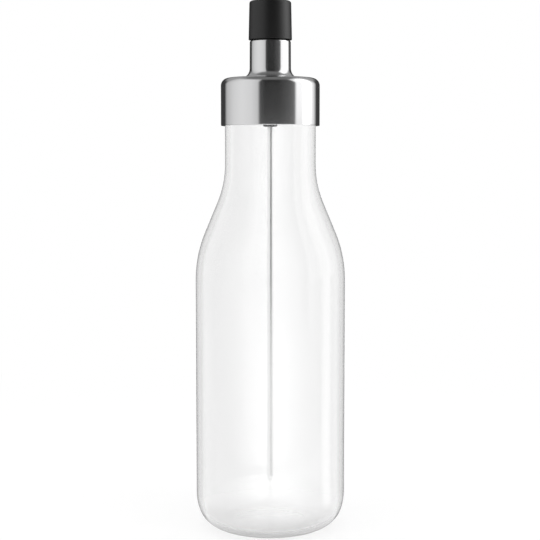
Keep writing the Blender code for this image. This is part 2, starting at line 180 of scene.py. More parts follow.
# %% [markdown]
# ## The lathe
# A turner works from a drawing of half the outline: straight lines, and a radius at each corner.
# The lathe tree takes exactly that. The outline is a mesh of points and edges in the XZ plane, and
# each point carries its corner's radius in an attribute. Fillet Curve rounds the corners, a grid
# is wrapped round the Z axis through the curve's points, and Merge by Distance closes the seam
# and the poles. A curve swept by Curve to Mesh would twist at the axis; the grid cannot.

# %% Build the lathe
CORNER_STEPS = 9
CREASE = math.radians(40)
WELD = 2e-6


def new_tree(name, sizes):
    """A Geometry Nodes group with an outline, the named inputs in sizes, and a finish."""
    tree = bpy.data.node_groups.new(name, "GeometryNodeTree")
    tree.interface.new_socket("Geometry", in_out="OUTPUT", socket_type="NodeSocketGeometry")
    tree.interface.new_socket("Outline", in_out="INPUT", socket_type="NodeSocketGeometry")
    for label, kind in sizes.items():
        tree.interface.new_socket(label, in_out="INPUT", socket_type="NodeSocket" + kind)
    tree.interface.new_socket("Finish", in_out="INPUT", socket_type="NodeSocketMaterial")
    return Wire(tree).add("NodeGroupInput")


def finish_tree(ends, shape):
    """Every tree ends in Realize Instances and Set Material."""
    made = ends.add("GeometryNodeRealizeInstances", None, {"Geometry": shape})
    made = ends.add("GeometryNodeSetMaterial", None, {"Geometry": made, "Material": ends.out("Finish")})
    ends.add("NodeGroupOutput", None, {"Geometry": made})
    print(ends.tree.name + ":", len(ends.tree.nodes), "nodes")


def smooth(ends, body):
    """Smooth faces, with a crease wherever two of them meet at a steep angle."""
    body = ends.add("GeometryNodeSetShadeSmooth", {"domain": "FACE"}, {"Geometry": body})
    steep = ends.add("GeometryNodeInputMeshEdgeAngle") > CREASE
    return ends.add("GeometryNodeSetShadeSmooth", {"domain": "EDGE"},
                    {"Geometry": body, "Selection": steep, "Shade Smooth": False})


def drawn_line(ends):
    """The outline as a curve, with its corners rounded."""
    radius = ends.add("GeometryNodeInputNamedAttribute", {"data_type": "FLOAT"}, {"Name": "corner"})
    line = ends.add("GeometryNodeMeshToCurve", None, {"Mesh": ends.out("Outline")})
    return ends.add("GeometryNodeFilletCurve", {"mode": "POLY"},
                    {"Curve": line, "Count": CORNER_STEPS, "Radius": radius, "Limit Radius": True})


def turned(ends):
    """The outline turned round the Z axis."""
    line = drawn_line(ends)
    points = ends.add("GeometryNodeAttributeDomainSize", {"component": "CURVE"}, {"Geometry": line})
    around = ends.out("Facets") + 1
    cloth = ends.add("GeometryNodeMeshGrid", None, {"Vertices X": points, "Vertices Y": around})
    index = ends.add("GeometryNodeInputIndex")
    station = ends.maths("FLOOR", (index + 0.5) / around)
    position = ends.add("GeometryNodeInputPosition")
    sample = ends.add("GeometryNodeSampleIndex", {"data_type": "FLOAT_VECTOR", "domain": "POINT"},
                      {"Geometry": line, "Value": position, "Index": station})
    drawn = ends.add("ShaderNodeSeparateXYZ", None, {"Vector": sample})
    angle = (index - station * around) * (2 * math.pi) / ends.out("Facets")
    place = ends.add("ShaderNodeCombineXYZ", None, {
        "X": drawn * ends.maths("COSINE", angle),
        "Y": drawn * ends.maths("SINE", angle),
        "Z": drawn.out("Z")})
    body = ends.add("GeometryNodeSetPosition", None, {"Geometry": cloth, "Position": place})
    body = ends.add("GeometryNodeMergeByDistance", None, {"Geometry": body, "Distance": WELD})
    return smooth(ends, body)


lathe = new_tree("lathe", {"Facets": "Int"})
finish_tree(lathe, turned(lathe))

# %% [markdown]
# Every piece is made in the same four moves: draw its outline as a mesh, hang the tree on it as a
# modifier, turn the evaluated result into a plain mesh, and attach that mesh to its body. The
# volume is printed, because a positive one proves that all the faces point outwards.

# %% Run a tree on an outline
MM3_IN_M3 = 1e9


def drawing(name, corners):
    """An outline as a mesh object. A corner is (radius from the axis, height, fillet)."""
    points = [(radius, 0.0, height) for radius, height, fillet in corners]
    edges = [(i, i + 1) for i in range(len(corners) - 1)]
    mesh = bpy.data.meshes.new(name)
    mesh.from_pydata(points, edges, [])
    rounding = mesh.attributes.new("corner", "FLOAT", "POINT")
    rounding.data.foreach_set("value", [fillet for radius, height, fillet in corners])
    item = bpy.data.objects.new(name + "_drawing", mesh)
    scene.collection.objects.link(item)
    return item


def volume(mesh):
    """Signed volume in cubic millimetres: positive where the faces point outwards."""
    total = 0.0
    for face in mesh.polygons:
        first, *rest = [mesh.vertices[i].co for i in face.vertices]
        for second, third in zip(rest, rest[1:]):
            total += first.dot(second.cross(third)) / 6
    return total * MM3_IN_M3


def make(name, ends, corners, sizes, finish):
    """Runs a tree on an outline and returns the finished piece as a plain mesh object."""
    outline = drawing(name, corners)
    modifier = outline.modifiers.new("tree", "NODES")
    modifier.node_group = ends.tree
    sizes = dict(sizes, Finish=finish)
    for socket in ends.tree.interface.items_tree:
        if socket.in_out == "INPUT" and socket.name in sizes:
            modifier[socket.identifier] = sizes[socket.name]
    bpy.context.view_layer.update()
    graph = bpy.context.evaluated_depsgraph_get()
    mesh = bpy.data.meshes.new_from_object(outline.evaluated_get(graph))
    mesh.name = name
    bpy.data.objects.remove(outline)
    piece = bpy.data.objects.new(name, mesh)
    scene.collection.objects.link(piece)
    print("%s: %d faces, %.1f mm3" % (name, len(mesh.polygons), volume(mesh)))
    return piece


def fit(piece, body, slot, *nodes):
    """The piece rides on its body and hides the CAD nodes that it stands for. Slot is not used."""
    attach(piece, body)
    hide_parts(*nodes)


# %% [markdown]
# ## The studio
# Polished things show their room, so the room comes first. The steel in the photograph reads like
# a map of it. A reflection on a round post looks away by twice the angle that the surface turns, so
# each edge on the collar gives a bearing in the room: a pale wall on the left, the dark side with
# the camera, a very bright soft box on the right, and dark drapes behind on both sides, all under
# a dim ceiling. Hanging cards for all that would put them in the way of other views. The world can
# carry them instead, painted by bearing, and shown only to rays that have bounced off something
# shiny.
# The glass in the photograph shows a milder room than the steel does, so there are three maps: one
# for what the outer surfaces show, one for what the skewer shows through the wall, and one for
# rays that bounce inside the wall itself. Each is a table of bearings and brightnesses. Which one a
# ray reads follows from how many glass surfaces it has crossed: none at the outer surfaces, and
# four once it leaves the skewer through the wall.

# %% Draw the map of the studio
OUTSIDE = [
    (-180, 0.055), (-131, 0.055), (-121, 0.62), (-95, 0.87), (-70, 0.97), (-45, 0.9), (-29, 0.72),
    (-24, 0.08), (-12, 0.03), (20, 0.035), (45, 0.1), (58, 0.18), (64, 1.4), (79, 1.4),
    (86, 2.6), (104, 2.6), (112, 1.4), (122, 0.9), (134, 0.055), (180, 0.055)]
THROUGH_WALL = [
    (-180, 1.0), (-121, 1.0), (-95, 1.0), (-20, 1.0), (-12, 0.8), (-4, 0.08), (20, 0.035),
    (45, 0.1), (58, 0.18), (64, 1.15), (110, 1.15), (122, 1.0), (180, 1.0)]
IN_WALL = [
    (-180, 0.85), (-163, 0.97), (-152, 1.0), (-122, 1.0), (-112, 0.6), (-100, 0.1),
    (-75, 0.1), (-60, 0.2), (-46, 0.8), (-20, 2.4), (0, 3.4), (20, 4.0), (46, 3.4), (60, 2.4),
    (75, 1.7), (94, 0.9), (110, 0.8), (122, 1.0), (152, 1.0), (165, 0.93), (180, 0.78)]
BRIGHTEST = 4.0
DRAPES_FROM = (118.0, 128.0)
DRAPES_TOP = (0.3, 0.5)
ABOVE_DRAPES = 0.4
OVERHEAD = 0.2
CEILING = (0.72, 0.9)
OVER_CAMERA = (0.06, 0.2)
FAR_SIDE = 4

for title, table in ("outside", OUTSIDE), ("through the wall", THROUGH_WALL), ("in the wall", IN_WALL):
    print("map", title + ":", len(table), "stops, brightest", max(level for angle, level in table))


def bearing_of(paint, place):
    """Degrees round the bottle: 0 at the camera side, 90 to the right."""
    across = paint.add("ShaderNodeSeparateXYZ", None, {"Vector": place})
    return paint.maths("ARCTAN2", across, 0 - across.out("Y")) * (180 / math.pi)


def read_map(bearing, table):
    """Looks a bearing up in a map."""
    stops = [((angle + 180) / 360, level / BRIGHTEST) for angle, level in table]
    place = (bearing + 180.0) / 360.0
    return bearing.add("ShaderNodeValToRGB", {"stops": stops}, {"Fac": place}) * BRIGHTEST


def behind(bearing):
    """1 where the drapes hang, on the far side of the bottle."""
    return bearing.maths("ABSOLUTE", bearing).step(*DRAPES_FROM)


def studio(path, bearing, climb):
    """How bright the studio is at a bearing, and at a climb from 0, level, to 1, overhead."""
    crossed = path.out("Transmission Depth")
    outside = read_map(bearing, OUTSIDE)
    outside = outside + (ABOVE_DRAPES - outside) * behind(bearing) * climb.step(*DRAPES_TOP)
    outside = outside + (OVERHEAD - outside) * climb.step(*CEILING)
    level = read_map(bearing, IN_WALL)
    beyond_wall = read_map(bearing, THROUGH_WALL)
    beyond_wall = beyond_wall + (1 - beyond_wall) * climb.step(*OVER_CAMERA)
    level = level + (beyond_wall - level) * crossed.exactly(FAR_SIDE)
    return level + (outside - level) * (1 - crossed.at_least(1))


# %% [markdown]
# Rays that look straight past the bottle, or through its glass, see plain white. Rays that light
# the matt pieces see an even pale grey.

# %% Paint the room round the bottle
EVEN_LIGHT = 0.55

room = bpy.data.worlds.new("room")
scene.world = room
room.use_nodes = True
room.node_tree.nodes.clear()
room.cycles.sampling_method = "NONE"
paint = Wire(room.node_tree)
way = paint.add("ShaderNodeTexCoord").out("Generated")
climb = paint.add("ShaderNodeSeparateXYZ", None, {"Vector": way}, "Z")
path = paint.add("ShaderNodeLightPath")
seen = studio(path, bearing_of(paint, way), climb)
seen = 1 + (seen - 1) * path.out("Glossy Depth").at_least(1)
seen = seen + (EVEN_LIGHT - seen) * path.out("Is Diffuse Ray")
sky = paint.add("ShaderNodeBackground", None, {"Color": (1.0, 1.0, 1.0, 1.0), "Strength": seen})
paint.add("ShaderNodeOutputWorld", None, {"Surface": sky})
print("room painted with", len(room.node_tree.nodes), "nodes")

# %% [markdown]
# Every material in this lesson starts and ends in the same way: its nodes are cleared, a wire is
# laid from its object coordinates, and a surface goes into its output. Two helpers do that.

# %% Start and end a material


def new_finish(name):
    """An empty material, its first wire and its object coordinates."""
    made = bpy.data.materials.new(name)
    made.use_nodes = True
    made.node_tree.nodes.clear()
    paint = Wire(made.node_tree)
    return made, paint, paint.add("ShaderNodeTexCoord").out("Object")


def end_finish(made, paint, surface):
    """Ends a material in its surface and says how many nodes it took."""
    paint.add("ShaderNodeOutputMaterial", None, {"Surface": surface})
    print("finish", made.name + ":", len(made.node_tree.nodes), "nodes")
    return made


# %% [markdown]
# The floor is one large pale disc. Most of what a camera sees of it is a steady white, and near the
# bottle the rest is lit like any matt surface, so the bottle keeps a soft shadow. Further out it is
# all steady, which hides the horizon. It lies a hair under the foot ring, because two surfaces in
# exactly the same plane flicker.
# Shiny pieces look down at the floor as much as out at the room, and a floor that is white
# everywhere would wash the studio's map out of them. So a ray that has bounced finds the map
# painted on the floor too: past the table's edge, where a real room would show, and close to the
# glass on the right and at the back, where the bright box and the drapes have to reach down to the
# heel. The map is read by bearing, and a ray leaves the bottle's skin and not its axis, so near the
# foot the bearing of a spot is turned a little to allow for that. Four smaller shares complete it.
# The skewer gets part of the map. The steel gets the box's glare, painted on the floor a little way
# off. Straight under the foot the floor has a painted shade for rays that come through the glass.
# It is strongest on the camera's side and stands for the light that the thick base drinks. Where the
# heel mirrors the floor there is a painted dark patch, which stands for the shade in the gap under
# any round heel.

# %% Mix the floor's finish
STEADY_WHITE = 0.72
MATT_WHITE = 0.97
TABLE_EDGE = (0.4, 1.2)
NEAR_EDGE = (0.034, 0.048)
HEEL_EDGE = (0.018, 0.034)
TO_RIGHT = (57.0, 63.0)
TO_BACK = (113.0, 119.0)
SHADOW_EDGE = (0.12, 0.45)
FOOT_EDGE = (0.03, 0.06)
FOOT_SHADE = (-0.035, 0.03)
SHADE_DEPTH = 0.3
CONTACT_EDGE = (0.026, 0.04)
CONTACT_DEPTH = 0.75
GLARE_EDGE = (0.05, 0.1)
ROD_SHARE = 0.3
FLOOR_GLARE = 1.8
GLARE_BEARINGS = (86.0, 104.0)
GLARE_SOFTNESS = 6.0
SKIN_RADIUS = 0.035


def floor_finish():
    """Steady white to look at, matt near the bottle, and the room's map for bounced rays."""
    made, paint, place = new_finish("pale_floor")
    spot = paint.add("ShaderNodeSeparateXYZ", None, {"Vector": place})
    radius = paint.add("ShaderNodeVectorMath", {"operation": "LENGTH"}, {0: place}, "Value")
    path = paint.add("ShaderNodeLightPath")
    bounced = path.out("Glossy Depth").at_least(1)
    through = path.out("Is Transmission Ray")
    crossed = path.out("Transmission Depth")
    outside = 1 - crossed.at_least(1)
    on_rod = crossed.exactly(FAR_SIDE)
    inside = crossed.at_least(1) - on_rod

    # The bearing of a spot, turned a little near the foot.
    bearing = bearing_of(paint, place)
    lean = paint.maths("SINE", bearing * (math.pi / 360)) / radius.most(SKIN_RADIUS)
    bearing = bearing + lean * (SKIN_RADIUS * 180 / math.pi)
    aside = bearing.maths("ABSOLUTE", bearing)

    # Where bounced rays find the map.
    near = radius.step(*NEAR_EDGE)
    to_right = near * bearing.step(*TO_RIGHT)
    to_back = radius.step(*HEEL_EDGE) * aside.step(*TO_BACK)
    covered = radius.step(*TABLE_EDGE).most(to_right, to_back)
    covered = covered + (near - covered) * inside
    covered = covered.most(on_rod * ROD_SHARE * radius.step(*FOOT_EDGE)) * bounced

    # What they find there: the map, no brighter than white unless they are inside the wall, and
    # the box's glare.
    room_there = studio(path, bearing, spot.out("Z"))
    room_there = paint.maths("MINIMUM", room_there, 1.0 + inside * BRIGHTEST)
    glare = FLOOR_GLARE * bearing.band(*GLARE_BEARINGS, GLARE_SOFTNESS) * radius.step(*GLARE_EDGE)
    room_there = room_there + outside * glare

    # Painted shade under the foot, and a painted dark gap for the heel to mirror.
    off_rod = on_rod * bounced
    under = through * (1 - off_rod) * (1 - radius.step(*FOOT_EDGE))
    under = under * (1 - spot.out("Y").step(*FOOT_SHADE))
    contact = bounced * outside * (1 - radius.step(*CONTACT_EDGE))
    shine = 1 + (room_there - 1) * covered
    shine = shine * (1 - under * SHADE_DEPTH) * (1 - contact * CONTACT_DEPTH)

    # How much of all that is steady, and how much is lit like a matt surface.
    looking = path.out("Is Camera Ray").most(path.out("Is Glossy Ray"), through)
    clear = radius.step(*SHADOW_EDGE).most(covered, through * radius.step(*FOOT_EDGE), off_rod)
    steady = STEADY_WHITE + (1 - STEADY_WHITE) * clear
    matt = paint.add("ShaderNodeBsdfDiffuse", None, {"Color": (MATT_WHITE,) * 3 + (1.0,)})
    white = paint.add("ShaderNodeEmission", None, {"Strength": shine})
    mixed = paint.add("ShaderNodeMixShader", None, {0: looking * steady, 1: matt, 2: white})
    return end_finish(made, paint, mixed)


PALE_FLOOR = floor_finish()

# %% Lay the floor
FLOOR_RADIUS = 6.0
FLOOR_DROP = 5e-5
FLOOR_SIDES = 96

corners = []
for side in range(FLOOR_SIDES):
    turn = 2 * math.pi * side / FLOOR_SIDES
    corners.append((FLOOR_RADIUS * math.cos(turn), FLOOR_RADIUS * math.sin(turn), -FLOOR_DROP))
floor_mesh = bpy.data.meshes.new("floor")
floor_mesh.from_pydata(corners, [], [list(range(FLOOR_SIDES))])
floor_mesh.materials.append(PALE_FLOOR)
floor = bpy.data.objects.new("floor", floor_mesh)
scene.collection.objects.link(floor)
print("floor:", FLOOR_SIDES, "sides, from", -FLOOR_DROP, "m")

# %% [markdown]
# Three large lamps light the matt pieces: one overhead, one where the bright box stands, and one
# where the pale wall is. Neither the steel nor the glass shows them, because the map already holds
# all that these should show.

# %% Hang the lamps
AIM_HEIGHT = 0.12
LAMPS = {
    "top_box": {"place": (0.0, -0.1, 1.7), "width": 1.4, "watts": 12.0},
    "right_box": {"place": (1.3, -0.7, 0.8), "width": 1.0, "watts": 9.5},
    "left_wall": {"place": (-1.4, -0.6, 0.7), "width": 1.2, "watts": 6.0},
}

for name, facts in LAMPS.items():
    light = bpy.data.lights.new(name, "AREA")
    light.shape = "DISK"
    light.size = facts["width"]
    light.energy = facts["watts"]
    lamp = bpy.data.objects.new(name, light)
    scene.collection.objects.link(lamp)
    lamp.location = facts["place"]
    aim = lamp.location.copy()
    aim.z -= AIM_HEIGHT
    lamp.rotation_euler = aim.to_track_quat("Z", "Y").to_euler()
    lamp.visible_glossy = False
    lamp.visible_transmission = False
    print(name, facts)


# %% [markdown]
# ## Finishes
# A finish here is a small function that builds one material. Each reads Object coordinates, in
# metres, so a pattern keeps its real scale: moulded grains and turning lines are about a fifth of a
# millimetre wide, and the waves in blown glass a few centimetres.

# %% Noise and bumps


def noise(paint, place, scale, detail=2.0, stretch=(1.0, 1.0, 1.0)):
    """Noise around 0.5, with stretch as the scale along each axis."""
    sockets = {"Vector": place, "Scale": stretch}
    spread = paint.add("ShaderNodeMapping", {"vector_type": "POINT"}, sockets)
    return paint.add("ShaderNodeTexNoise", None, {"Vector": spread, "Scale": scale, "Detail": detail})


def bump(paint, height, depth):
    """Tilts the surface as if the height, from 0 to 1, stood that many metres proud."""
    return paint.add("ShaderNodeBump", None, {"Height": height, "Distance": depth, "Strength": 1.0})


# %% [markdown]
# Clear glass is a shader that lets light through, but its looks come from how it was made. Blown
# glass is never quite even: slow waves run through the wall and bend what is seen behind it. A bump
# of a few centimetres' wavelength does that without touching the outline. Shadow rays are let
# straight through with a slight loss, because a solid shadow under clear glass looks wrong. So are
# rays that have bounced four times inside the thick heel: a renderer gives up on such a ray soon
# after, and that would leave a black line under the bottle where real glass stays pale.

# %% Clear blown glass
GLASS_LEVEL = 0.943
SHADOW_LEVEL = 0.9
REFRACTION = 1.48
WAVES_PER_METRE = 38.0
WAVE_STRETCH = (1.0, 1.0, 0.45)
WAVE_DEPTH = 3e-5
BOUNCES_KEPT = 3


def clear_glass():
    """Glass, and a clear film in its place for shadow rays and for rays that bounced too often."""
    made, paint, place = new_finish("blown_glass")
    waves = noise(paint, place, WAVES_PER_METRE, 1.0, WAVE_STRETCH)
    glass = paint.add("ShaderNodeBsdfPrincipled", None, {
        "Base Color": (GLASS_LEVEL,) * 3 + (1.0,), "Roughness": 0.0, "IOR": REFRACTION,
        "Transmission Weight": 1.0, "Normal": bump(paint, waves, WAVE_DEPTH)})
    film = paint.add("ShaderNodeBsdfTransparent", None, {"Color": (SHADOW_LEVEL,) * 3 + (1.0,)})
    path = paint.add("ShaderNodeLightPath")
    straight = path.out("Is Shadow Ray").most(path.out("Glossy Depth").at_least(BOUNCES_KEPT + 1))
    mixed = paint.add("ShaderNodeMixShader", None, {0: straight, 1: glass, 2: film})
    return end_finish(made, paint, mixed)


GLASS = clear_glass()

# %% [markdown]
# The cover is pressed from sheet and then turned against fine grit, which leaves hair lines round
# the axis. They blur what the steel shows upwards and leave it crisp sideways: that is what the
# shader's anisotropy is for, and with no tangent given it runs round the Z axis, as the lathe did.
# The lines themselves follow height less radius, so they go on over the flat shoulder as rings.

# %% Satin steel and bright steel
HAIR_DEPTH = 1.5e-7
HAIRS_PER_METRE = 5200.0
HAIR_BREAKS_PER_METRE = 40.0
SMEARS_PER_METRE = 70.0
SMEAR_SHARE = 0.03


def steel(name, colour, roughness, lines, anisotropy):
    """Metal with hair lines round the axis. Lines is how much they vary the roughness."""
    made, paint, place = new_finish(name)
    spot = paint.add("ShaderNodeSeparateXYZ", None, {"Vector": place})
    flat = paint.add("ShaderNodeCombineXYZ", None, {"X": spot, "Y": spot.out("Y")})
    radius = paint.add("ShaderNodeVectorMath", {"operation": "LENGTH"}, {0: flat}, "Value")
    along = paint.add("ShaderNodeCombineXYZ", None, {
        "X": spot * HAIR_BREAKS_PER_METRE,
        "Y": spot.out("Y") * HAIR_BREAKS_PER_METRE,
        "Z": (spot.out("Z") - radius) * HAIRS_PER_METRE})
    hair = paint.add("ShaderNodeTexNoise", None, {"Vector": along, "Scale": 1.0, "Detail": 3.0})
    smear = noise(paint, place, SMEARS_PER_METRE, 3.0)
    metal = paint.add("ShaderNodeBsdfPrincipled", None, {
        "Base Color": colour + (1.0,), "Metallic": 1.0,
        "Roughness": roughness + (hair - 0.5) * lines + (smear - 0.5) * SMEAR_SHARE,
        "Anisotropic": anisotropy, "Anisotropic Rotation": 0.25,
        "Normal": bump(paint, hair, HAIR_DEPTH)})
    return end_finish(made, paint, metal)


SATIN = steel("turned_steel", (0.70, 0.70, 0.705), 0.16, 0.03, 0.92)
BRIGHT = steel("ground_steel", (0.92, 0.92, 0.92), 0.22, 0.03, 0.0)

# %% [markdown]
# The cap and the inner mouldings are black plastic from a spark-finished mould: tiny even grains
# that scatter the highlights. The cap is matt all over, the inner parts a little smoother.

# %% Moulded black plastic
GRAINS_PER_METRE = 5200.0
PATCHES_PER_METRE = 90.0


def grey(paint, level, blue):
    """A grey that varies over the surface, with blue times as much blue in it."""
    shares = {"Red": level, "Green": level, "Blue": level * blue}
    return paint.add("ShaderNodeCombineColor", None, shares)


def moulded_black(name, level, roughness, grain):
    """Black plastic. Level is its grey, and grain is the depth of the grains in metres."""
    made, paint, place = new_finish(name)
    grains = noise(paint, place, GRAINS_PER_METRE, 2.0)
    patches = noise(paint, place, PATCHES_PER_METRE, 3.0)
    plastic = paint.add("ShaderNodeBsdfPrincipled", None, {
        "Base Color": grey(paint, level * (0.85 + 0.3 * patches), 1.03),
        "Roughness": roughness + (patches - 0.5) * 0.08,
        "Normal": bump(paint, grains, grain)})
    return end_finish(made, paint, plastic)


CAP_BLACK = moulded_black("grained_black", 0.005, 0.43, 1.2e-5)
INNER_BLACK = moulded_black("smooth_black", 0.014, 0.38, 8e-6)

# %% [markdown]
# Silicone seals are soft, milky and slightly dusty. Light goes a little way in, so a touch of
# subsurface keeps them from looking like painted metal.

# %% Silicone
DUST_PER_METRE = 700.0
DUST_DEPTH = 1.5e-5
GLOW_DEPTH = 0.0006


def silicone():
    """Milky grey rubber, a little paler and duller where dust has settled."""
    made, paint, place = new_finish("milky_silicone")
    dust = noise(paint, place, DUST_PER_METRE, 4.0)
    rubber = paint.add("ShaderNodeBsdfPrincipled", None, {
        "Base Color": grey(paint, 0.36 + 0.1 * dust, 1.02),
        "Roughness": 0.52 + 0.16 * dust,
        "Subsurface Weight": 0.2, "Subsurface Scale": GLOW_DEPTH,
        "Normal": bump(paint, dust, DUST_DEPTH)})
    return end_finish(made, paint, rubber)


SOFT_GREY = silicone()

# %% [markdown]
# ## The glass bottle
# A gather of glass is blown into a turning mould, which gives the round body and the long shoulder.
# The rim is melted smooth by a flame, and the base is pushed up a little so that the bottle stands
# on a ring. On paper that is an outline in two halves, inside and outside, joined over the rim. The
# shoulder is two curves and the straight flank that touches both, so its corners lie where the
# flank would meet the neck and the side if nothing were rounded.

# %% Draw and turn the bottle
MM = 0.001
RIM_HEIGHT = 206.8 * MM
NECK_FOOT = 171.0 * MM
SHOULDER_FOOT = 117.0 * MM
BODY_RADIUS = 35.0 * MM
NECK_RADIUS = 21.1 * MM
WALL = 1.8 * MM
GLASS_FLOOR = 3.0 * MM
NECK_CURVE = 46.0 * MM
SHOULDER_CURVE = 57.0 * MM
HEEL_SIDE = 22.3 * MM
HEEL_CORNER = 12.2 * MM
HEEL_TURN = math.radians(22.0)
RING_WIDTH = 5.5 * MM
RING_EDGE = 0.3 * MM
PUSH_UP = 0.8 * MM
DOME_SHARE = 0.95


def reach(curve, turn):
    """How far from its corner a fillet touches a line that turns by that angle."""
    return curve * math.tan(turn / 2)


def flank_turn():
    """How far the flank leans from upright, so that it touches both shoulder curves."""
    across = NECK_CURVE + SHOULDER_CURVE - (BODY_RADIUS - NECK_RADIUS)
    tall = NECK_FOOT - SHOULDER_FOOT
    touch = math.acos((NECK_CURVE + SHOULDER_CURVE) / math.hypot(across, tall))
    return math.atan2(tall, across) - touch


def side_corners(inset):
    """Neck corner and body corner of the shoulder, for a wall moved inwards by inset."""
    turn = flank_turn()
    neck = NECK_CURVE + inset
    body = SHOULDER_CURVE - inset
    return [(NECK_RADIUS - inset, NECK_FOOT - reach(neck, turn), neck),
            (BODY_RADIUS - inset, SHOULDER_FOOT + reach(body, turn), body)]


def heel_centre():
    """Radius and height of the point that the heel's side curve is struck from."""
    return BODY_RADIUS - HEEL_SIDE, HEEL_CORNER + (HEEL_SIDE - HEEL_CORNER) * math.sin(HEEL_TURN)


def heel_corners(inset, foot, corner):
    """Side corner and foot corner of the heel, down to the level called foot."""
    centre_radius, centre_height = heel_centre()
    side = HEEL_SIDE - inset
    meet_radius = centre_radius + (side - corner) * math.cos(HEEL_TURN)
    return [(BODY_RADIUS - inset, centre_height - reach(side, HEEL_TURN), side),
            (meet_radius + reach(corner, math.pi / 2 - HEEL_TURN), foot, corner)]


def bottle_corners():
    """The whole outline: up the inside, over the rim, down the outside and under the base."""
    centre_radius, centre_height = heel_centre()
    inside_meet = centre_height - (HEEL_SIDE - WALL) * math.sin(HEEL_TURN)
    inside_corner = (inside_meet - GLASS_FLOOR) / (1 - math.sin(HEEL_TURN))
    ring = centre_radius + (HEEL_SIDE - HEEL_CORNER) * math.cos(HEEL_TURN) - RING_WIDTH
    dome = (ring ** 2 + PUSH_UP ** 2) / (2 * PUSH_UP)
    corners = [(0.0, GLASS_FLOOR, 0.0)]
    corners += reversed(heel_corners(WALL, GLASS_FLOOR, inside_corner))
    corners += reversed(side_corners(WALL))
    corners += [(NECK_RADIUS - WALL, RIM_HEIGHT, WALL / 2), (NECK_RADIUS, RIM_HEIGHT, WALL / 2)]
    corners += side_corners(0.0) + heel_corners(0.0, 0.0, HEEL_CORNER)
    corners += [(ring, 0.0, RING_EDGE), (ring / 2, PUSH_UP, dome * DOME_SHARE), (0.0, PUSH_UP, 0.0)]
    return corners


bottle = make("bottle_glass", lathe, bottle_corners(), {"Facets": 256}, GLASS)
fit(bottle, "bottle", "clear_glass", "glass_bottle")

# %% [markdown]
# ## The steel cover
# One round of sheet steel is pressed into a wide collar with a slim neck on top. The press leaves
# an even thickness and generous bends, so the inside follows the outside one sheet further in.
# The outline is a closed loop here: it starts and ends in the middle of the collar's wall, where
# there is no corner to round.

# %% Draw and turn the cover
COVER_TOP = 210.7 * MM
COLLAR_EDGE = 188.75 * MM
COVER_LIP = 228.0 * MM
COLLAR_RADIUS = 22.95 * MM
COLLAR_MIDDLE = 200.0 * MM
SHEET = 0.8 * MM
SHEET_EDGE = 0.3 * MM
SLIM_RADIUS = 9.5 * MM
SLIM_FOOT = 9.6 * MM
LIP_HOLE = 8.3 * MM
COLLAR_BEND = 3.5 * MM
THROAT_BEND = 4.4 * MM

cover_corners = [
    (COLLAR_RADIUS, COLLAR_MIDDLE, 0.0),
    (COLLAR_RADIUS, COLLAR_EDGE, SHEET_EDGE),
    (COLLAR_RADIUS - SHEET, COLLAR_EDGE, SHEET_EDGE),
    (COLLAR_RADIUS - SHEET, COVER_TOP - SHEET, COLLAR_BEND - SHEET),
    (SLIM_FOOT - SHEET, COVER_TOP - SHEET, THROAT_BEND + SHEET),
    (SLIM_RADIUS - SHEET, COVER_LIP - SHEET, 0.1 * MM),
    (LIP_HOLE, COVER_LIP - SHEET, 0.1 * MM),
    (LIP_HOLE, COVER_LIP, 0.25 * MM),
    (SLIM_RADIUS, COVER_LIP, 0.9 * MM),
    (SLIM_FOOT, COVER_TOP, THROAT_BEND),
    (COLLAR_RADIUS, COVER_TOP, COLLAR_BEND),
    (COLLAR_RADIUS, COLLAR_MIDDLE, 0.0),
]
cover = make("cover_steel", lathe, cover_corners, {"Facets": 224}, SATIN)
fit(cover, "head", "satin_steel", "steel_cover")

# %% [markdown]
# ## The cap
# A moulded cup, a little wider at its foot so that it leaves the mould, with a small round at its
# top edge and a bevel inside its mouth that finds the pouring lip.

# %% Draw and turn the cap
CAP_FOOT = 228.3 * MM
CAP_TOP = 246.0 * MM
CAP_CEILING = 243.9 * MM
CAP_RADIUS = 10.05 * MM
CAP_TOP_RADIUS = 9.65 * MM
CAP_BORE = 8.4 * MM
CAP_TOP_BEND = 1.1 * MM
MOUTH_BEVEL = 0.3 * MM

cap_corners = [
    (0.0, CAP_TOP, 0.0),
    (CAP_TOP_RADIUS, CAP_TOP, CAP_TOP_BEND),
    (CAP_RADIUS, CAP_FOOT, 0.2 * MM),
    (CAP_BORE + MOUTH_BEVEL, CAP_FOOT, 0.1 * MM),
    (CAP_BORE, CAP_FOOT + MOUTH_BEVEL, 0.1 * MM),
    (CAP_BORE, CAP_CEILING, 0.4 * MM),
    (0.0, CAP_CEILING, 0.0),
]
cap = make("cap_cup", lathe, cap_corners, {"Facets": 160}, CAP_BLACK)
fit(cap, "cap", "cap_black", "cap_shell")

# %% [markdown]
# The plug under the cap's ceiling is moulded silicone: a disc that fills the cap, and a nose that
# stops the spout's bore.

# %% Draw and turn the plug
PLUG_TOP = 243.6 * MM
DISC_FOOT = 241.8 * MM
DISC_RADIUS = 8.1 * MM
NOSE_RADIUS = 5.5 * MM
NOSE_BEVEL = 237.8 * MM
NOSE_FOOT = 237.2 * MM
NOSE_FOOT_RADIUS = 4.9 * MM

plug_corners = [
    (0.0, PLUG_TOP, 0.0),
    (DISC_RADIUS, PLUG_TOP, 0.2 * MM),
    (DISC_RADIUS, DISC_FOOT, 0.2 * MM),
    (NOSE_RADIUS, DISC_FOOT, 0.3 * MM),
    (NOSE_RADIUS, NOSE_BEVEL, 0.2 * MM),
    (NOSE_FOOT_RADIUS, NOSE_FOOT, 0.2 * MM),
    (0.0, NOSE_FOOT, 0.0),
]
plug = make("cap_plug", lathe, plug_corners, {"Facets": 96}, SOFT_GREY)
fit(plug, "cap", "silicone", "cap_seal")

